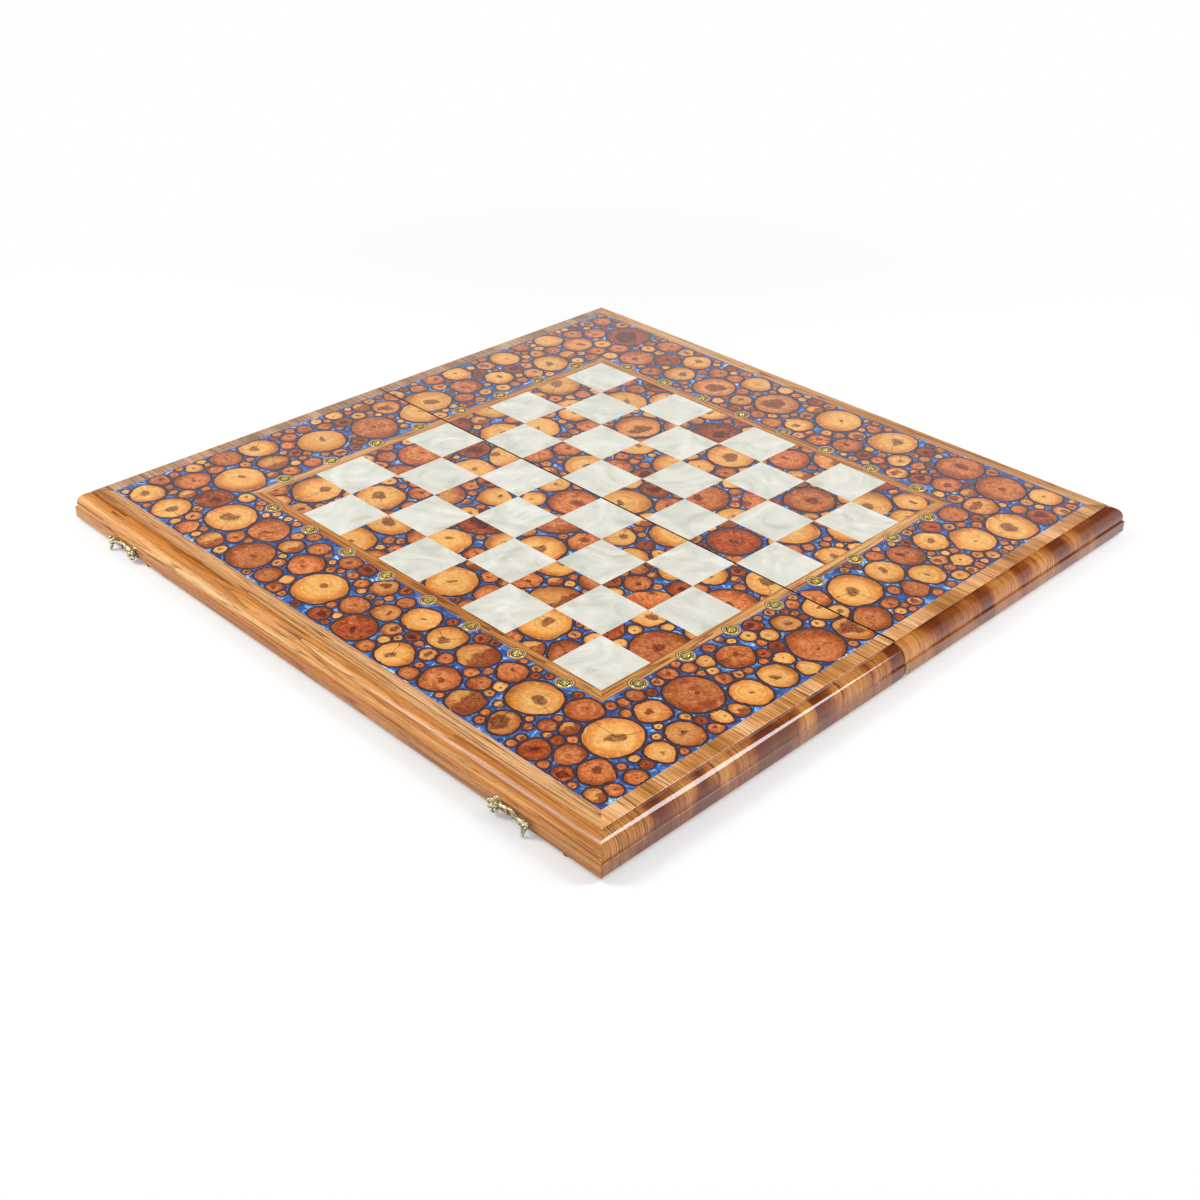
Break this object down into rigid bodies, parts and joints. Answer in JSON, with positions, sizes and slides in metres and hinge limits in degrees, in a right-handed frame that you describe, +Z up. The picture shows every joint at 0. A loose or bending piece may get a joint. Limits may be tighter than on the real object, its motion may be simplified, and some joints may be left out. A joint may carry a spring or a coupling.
{
  "type": "folding chess and backgammon board",
  "caption": "Folding game board: two hinged wooden trays with a chess field of pearl and wood-in-blue-resin squares outside, a backgammon field inside, and brass swing hooks.",
  "frame": {"origin": "middle of the open board, on the table that its feet stand on", "axes": "+Z up out of the chess field, +X along the fold, -Y towards the rail with the hooks"},
  "size_m": [0.6, 0.6124, 0.0271],
  "materials": {
    "long_rail_wood": "honey walnut, clear gloss lacquer",
    "end_rail_wood": "dark figured walnut, clear gloss lacquer",
    "fold_rail_wood": "walnut, satin lacquer",
    "panel_plywood": "birch plywood, bare inside the casting",
    "blue_resin": "pearl cobalt epoxy, polished",
    "slice_wood": "sawn branch slices under gloss lacquer",
    "pearl_resin": "pearl white epoxy, polished",
    "strip_wood": "walnut strip, clear gloss lacquer",
    "coin_brass": "polished cast brass",
    "lining_wood": "walnut veneer, satin lacquer",
    "light_point_resin": "pearl white epoxy, polished",
    "dark_point_resin": "pearl cobalt epoxy, polished",
    "foot_rubber": "black rubber",
    "hinge_brass": "brushed brass",
    "hook_brass": "polished cast brass"
  },
  "bodies": {
    "near_half": {"front_rail": "long_rail_wood", "near_left_rail": "end_rail_wood", "near_right_rail": "end_rail_wood", "near_fold_rail": "fold_rail_wood", "near_panel": "panel_plywood", "near_border_resin": "blue_resin", "near_border_slices": "slice_wood", "near_dark_squares": "blue_resin", "near_square_slices": "slice_wood", "near_light_squares": "pearl_resin", "front_strip": "strip_wood", "near_left_strip": "strip_wood", "near_right_strip": "strip_wood", "near_coins": "coin_brass", "near_lining": "lining_wood", "near_light_points": "light_point_resin", "near_dark_points": "dark_point_resin", "near_hinge_leaves": "hinge_brass", "near_hinge_screws": "hinge_brass", "near_feet": "foot_rubber", "hinge_pins": "hinge_brass", "hook_rosettes": "hook_brass", "hook_screws": "hook_brass"},
    "far_half": {"back_rail": "long_rail_wood", "far_left_rail": "end_rail_wood", "far_right_rail": "end_rail_wood", "far_fold_rail": "fold_rail_wood", "far_panel": "panel_plywood", "far_border_resin": "blue_resin", "far_border_slices": "slice_wood", "far_dark_squares": "blue_resin", "far_square_slices": "slice_wood", "far_light_squares": "pearl_resin", "back_strip": "strip_wood", "far_left_strip": "strip_wood", "far_right_strip": "strip_wood", "far_coins": "coin_brass", "far_lining": "lining_wood", "far_light_points": "light_point_resin", "far_dark_points": "dark_point_resin", "far_hinge_leaves": "hinge_brass", "far_hinge_screws": "hinge_brass", "far_feet": "foot_rubber", "catch_rosettes": "hook_brass", "catch_posts": "hook_brass"},
    "left_hook": {"left_hook": "hook_brass"},
    "right_hook": {"right_hook": "hook_brass"}
  },
  "joints": [
    {"name": "fold", "type": "hinge", "parent": "near_half", "child": "far_half", "pos_m": [0, 0, 0.00145], "axis": [-1, 0, 0], "range_deg": [0, 180]},
    {"name": "left_hook_swing", "type": "hinge", "parent": "near_half", "child": "left_hook", "pos_m": [-0.21, -0.3023, 0.008], "axis": [0, -1, 0], "range_deg": [-90, 90]},
    {"name": "right_hook_swing", "type": "hinge", "parent": "near_half", "child": "right_hook", "pos_m": [0.21, -0.3023, 0.008], "axis": [0, 1, 0], "range_deg": [-90, 90]}
  ]
}
